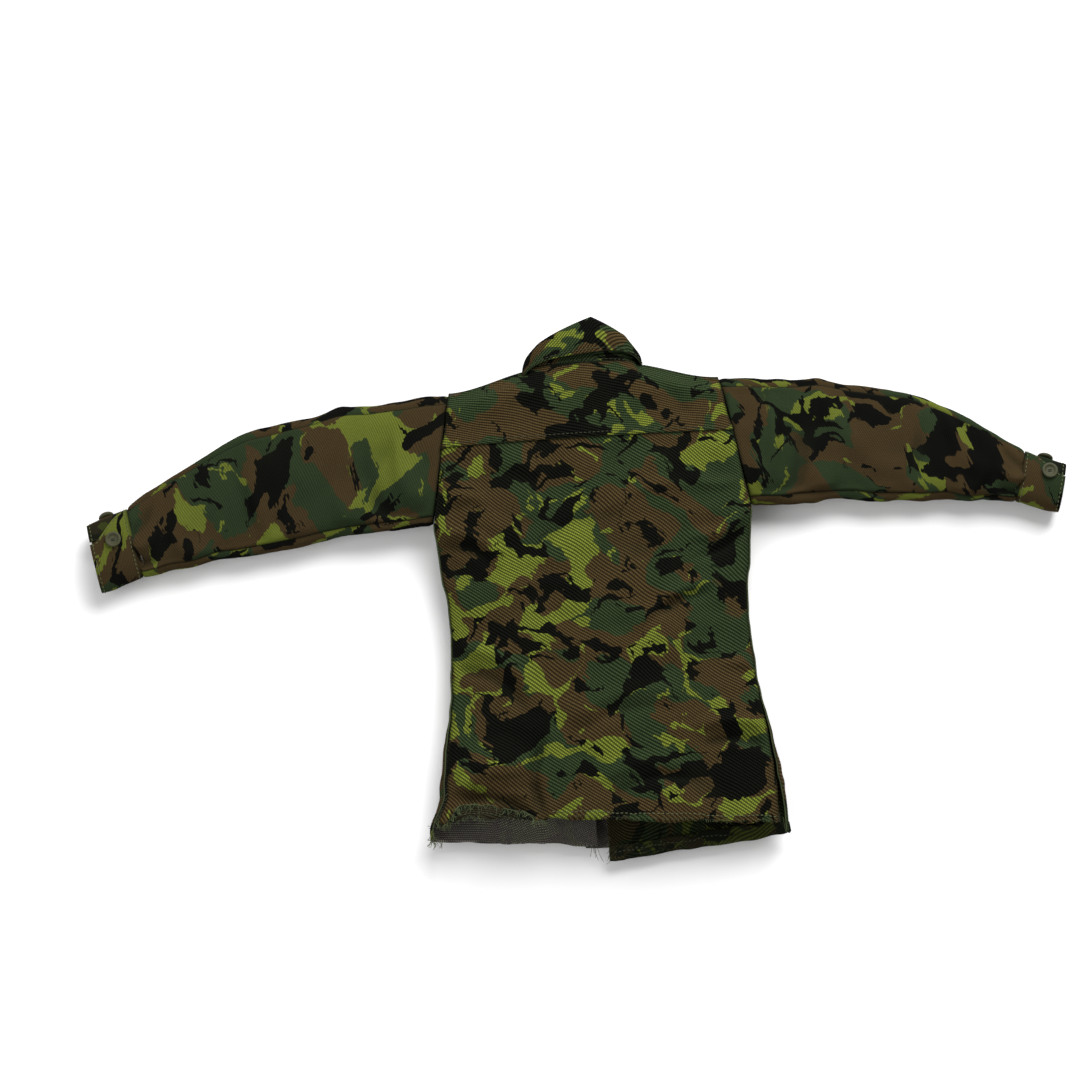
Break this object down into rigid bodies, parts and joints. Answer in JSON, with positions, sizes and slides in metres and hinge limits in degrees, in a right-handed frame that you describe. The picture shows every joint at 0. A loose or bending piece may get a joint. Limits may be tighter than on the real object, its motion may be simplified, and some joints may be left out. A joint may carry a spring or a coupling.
{
  "type": "doll-size field jacket",
  "caption": "Camouflage field jacket for a twelve inch figure, lying face down with sleeves spread, collar, cuffs, flapped pockets and hidden fly.",
  "frame": {"origin": "under the middle of the back, on the flat underside of the fly cover that rests on the table", "axes": "+X to the right sleeve as it lies back up, +Y to the collar, +Z out of the back"},
  "size_m": [0.2813, 0.1555, 0.015],
  "materials": {
    "body_cloth": "cotton twill, printed in lime, green, brown and black",
    "sleeve_cloth": "cotton twill, printed in lime, green, brown and black",
    "cuff_cloth": "cotton twill, printed, topstitched",
    "collar_cloth": "cotton twill, printed, topstitched",
    "pocket_cloth": "cotton twill, printed, topstitched",
    "fly_cloth": "cotton twill, printed, topstitched",
    "button": "moulded olive, satin rim"
  },
  "bodies": {
    "body": {"back_panel": "body_cloth", "back_yoke": "body_cloth", "front_left_side": "body_cloth", "front_right_side": "body_cloth"},
    "collar": {"collar_stand": "collar_cloth", "collar_leaf": "collar_cloth"},
    "sleeve_left": {"sleeve_left_top": "sleeve_cloth", "sleeve_left_under": "sleeve_cloth", "cuff_left": "cuff_cloth", "cuff_left_button": "button", "cuff_left_spare_button": "button"},
    "sleeve_right": {"sleeve_right_top": "sleeve_cloth", "sleeve_right_under": "sleeve_cloth", "cuff_right": "cuff_cloth", "cuff_right_button": "button", "cuff_right_spare_button": "button"},
    "front_left": {"front_left_panel": "body_cloth", "fly_cover": "fly_cloth", "chest_pocket_left": "pocket_cloth", "lower_pocket_left": "pocket_cloth", "chest_pocket_button_left": "button", "lower_pocket_button_left": "button"},
    "front_right": {"front_right_panel": "body_cloth", "fly_button_1": "button", "fly_button_2": "button", "fly_button_3": "button", "fly_button_4": "button", "fly_button_5": "button", "chest_pocket_right": "pocket_cloth", "lower_pocket_right": "pocket_cloth", "chest_pocket_button_right": "button", "lower_pocket_button_right": "button"},
    "chest_flap_left": {"chest_flap_left": "pocket_cloth"},
    "lower_flap_left": {"lower_flap_left": "pocket_cloth"},
    "chest_flap_right": {"chest_flap_right": "pocket_cloth"},
    "lower_flap_right": {"lower_flap_right": "pocket_cloth"}
  },
  "joints": [
    {"name": "sleeve_left_fold", "type": "hinge", "parent": "body", "child": "sleeve_left", "pos_m": [-0.0388, 0.0594, 0.012], "axis": [0.1669, 0.986, 0], "range_deg": [0, 165]},
    {"name": "sleeve_right_fold", "type": "hinge", "parent": "body", "child": "sleeve_right", "pos_m": [0.0388, 0.0594, 0.012], "axis": [0.1669, -0.986, 0], "range_deg": [0, 120]},
    {"name": "collar_turn_up", "type": "hinge", "parent": "body", "child": "collar", "pos_m": [0, 0.065, 0.0134], "axis": [1, 0, 0], "range_deg": [0, 95]},
    {"name": "front_left_open", "type": "hinge", "parent": "body", "child": "front_left", "pos_m": [-0.034, 0, 0.0036], "axis": [0, 1, 0], "range_deg": [0, 130]},
    {"name": "front_right_open", "type": "hinge", "parent": "body", "child": "front_right", "pos_m": [0.034, 0, 0.0036], "axis": [0, -1, 0], "range_deg": [0, 97.5]},
    {"name": "chest_flap_left_lift", "type": "hinge", "parent": "front_left", "child": "chest_flap_left", "pos_m": [-0.01989, 0.03558, 0.0009], "axis": [0.9703, -0.2419, 0], "range_deg": [0, 150]},
    {"name": "lower_flap_left_lift", "type": "hinge", "parent": "front_left", "child": "lower_flap_left", "pos_m": [-0.0195, -0.0224, 0.0009], "axis": [1, 0, 0], "range_deg": [0, 150]},
    {"name": "chest_flap_right_lift", "type": "hinge", "parent": "front_right", "child": "chest_flap_right", "pos_m": [0.01989, 0.03558, 0.0009], "axis": [0.9703, 0.2419, 0], "range_deg": [0, 150]},
    {"name": "lower_flap_right_lift", "type": "hinge", "parent": "front_right", "child": "lower_flap_right", "pos_m": [0.0195, -0.0224, 0.0009], "axis": [1, 0, 0], "range_deg": [0, 150]}
  ],
  "couplings": [
    {"joint": "front_right_open", "follows": "front_left_open", "ratio": 0.75}
  ]
}
